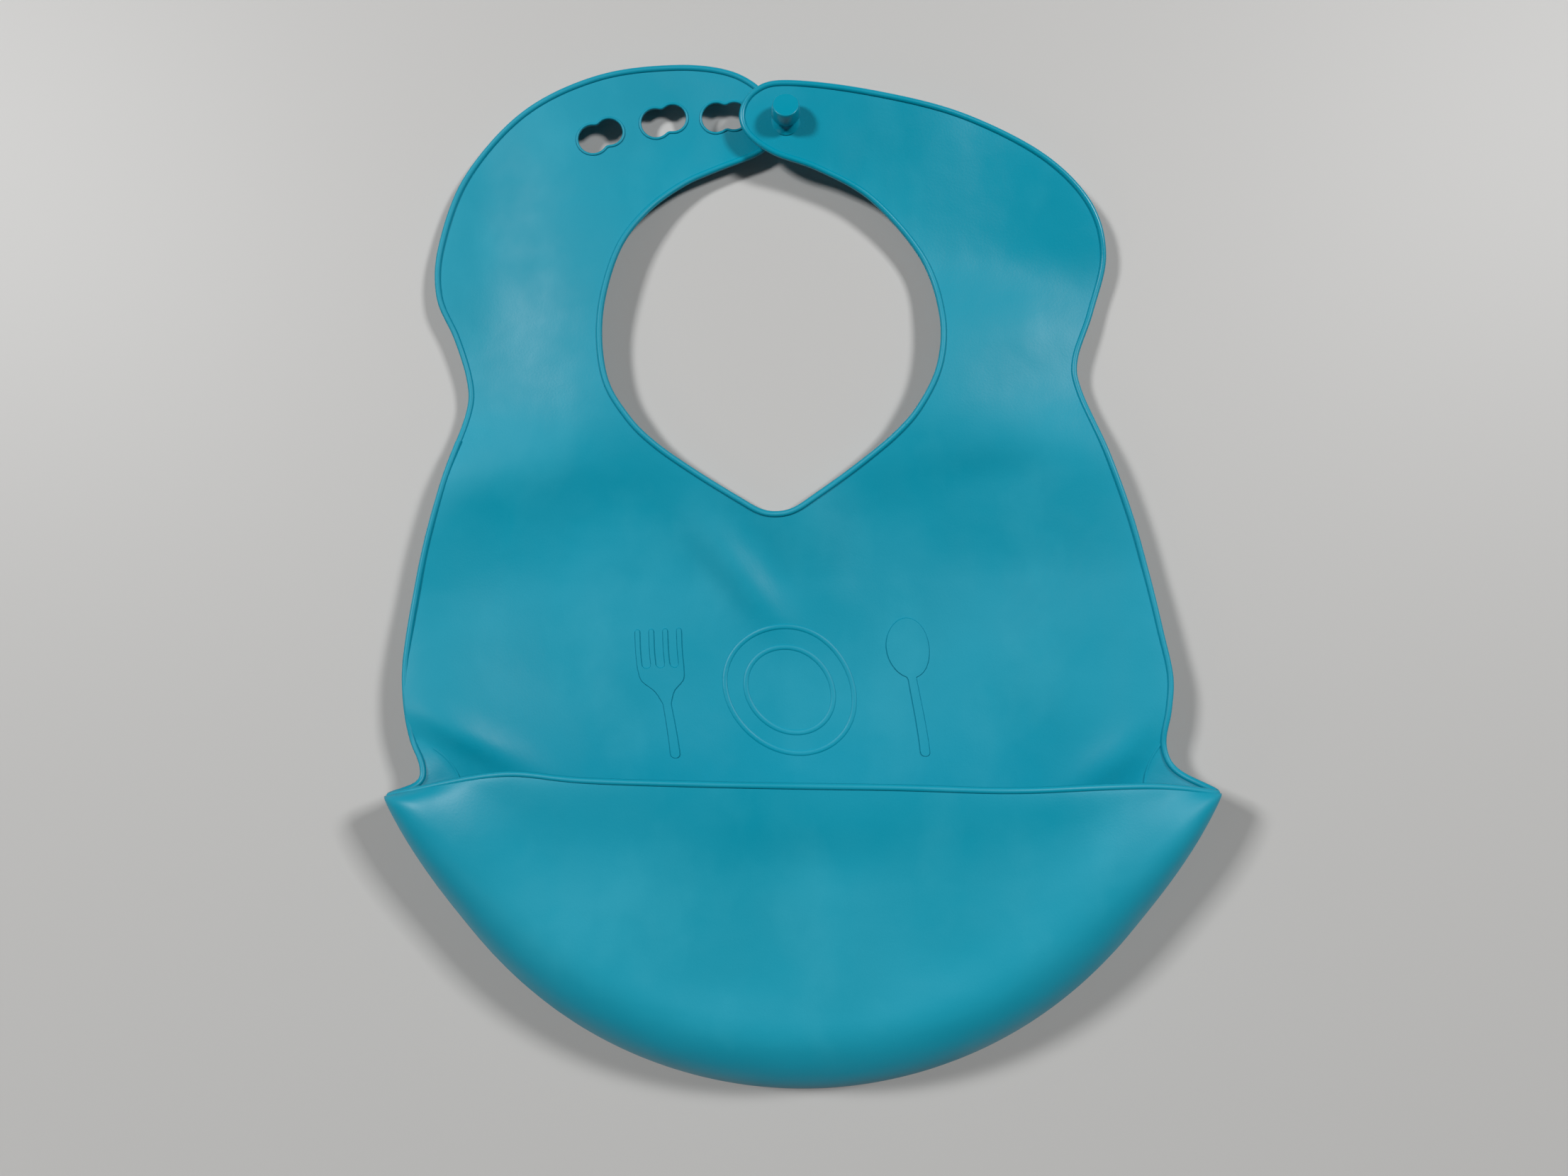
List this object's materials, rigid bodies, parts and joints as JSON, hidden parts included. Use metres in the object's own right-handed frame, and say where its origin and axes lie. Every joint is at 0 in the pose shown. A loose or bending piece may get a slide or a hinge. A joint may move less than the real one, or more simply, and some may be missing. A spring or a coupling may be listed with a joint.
{
  "type": "silicone bib",
  "caption": "Soft moulded silicone bib with a catch pouch, a round neck opening and two straps closed by a stud and keyholes.",
  "frame": {"origin": "on the plane that the bib rests on, under the middle of the chest", "axes": "+X to the right as seen from the front, +Y from the pouch towards the neck, +Z out of the front face"},
  "size_m": [0.2259, 0.2938, 0.039],
  "materials": {
    "silicone": "satin"
  },
  "bodies": {
    "lower_chest": {"lower_panel": "silicone", "pouch_bottom_fold": "silicone"},
    "pouch_wall": {"pouch_front_wall": "silicone"},
    "upper_chest": {"upper_panel": "silicone"},
    "left_strap": {"left_strap": "silicone"},
    "left_tab": {"left_keyhole_tab": "silicone"},
    "right_strap": {"right_strap": "silicone"},
    "right_tab": {"right_stud_tab": "silicone", "closure_stud": "silicone"}
  },
  "joints": [
    {"name": "pouch_mouth", "type": "hinge", "parent": "lower_chest", "child": "pouch_wall", "pos_m": [0, -0.1087, 0.0283], "axis": [1, 0, 0], "range_deg": [-12, 25], "stiffness_Nm_per_rad": 0.06},
    {"name": "chest_fold", "type": "hinge", "parent": "lower_chest", "child": "upper_chest", "pos_m": [0, 0.022, 0.0096], "axis": [1, 0, 0], "range_deg": [0, 110], "stiffness_Nm_per_rad": 0.03},
    {"name": "left_shoulder_bend", "type": "hinge", "parent": "upper_chest", "child": "left_strap", "pos_m": [0, 0.077, 0.005], "axis": [1, 0, 0], "range_deg": [-100, 15], "stiffness_Nm_per_rad": 0.01},
    {"name": "right_shoulder_bend", "type": "hinge", "parent": "upper_chest", "child": "right_strap", "pos_m": [0, 0.077, 0.005], "axis": [1, 0, 0], "range_deg": [-100, 15], "stiffness_Nm_per_rad": 0.01},
    {"name": "left_tab_bend", "type": "hinge", "parent": "left_strap", "child": "left_tab", "pos_m": [0, 0.088, 0.005], "axis": [-0.8192, 0.5736, 0], "range_deg": [0, 90], "stiffness_Nm_per_rad": 0.005},
    {"name": "right_tab_lift", "type": "hinge", "parent": "right_strap", "child": "right_tab", "pos_m": [0, 0.088, 0.0098], "axis": [0.8192, 0.5736, 0], "range_deg": [0, 60], "stiffness_Nm_per_rad": 0.005}
  ],
  "couplings": [
    {"joint": "right_shoulder_bend", "follows": "left_shoulder_bend", "ratio": 1}
  ]
}
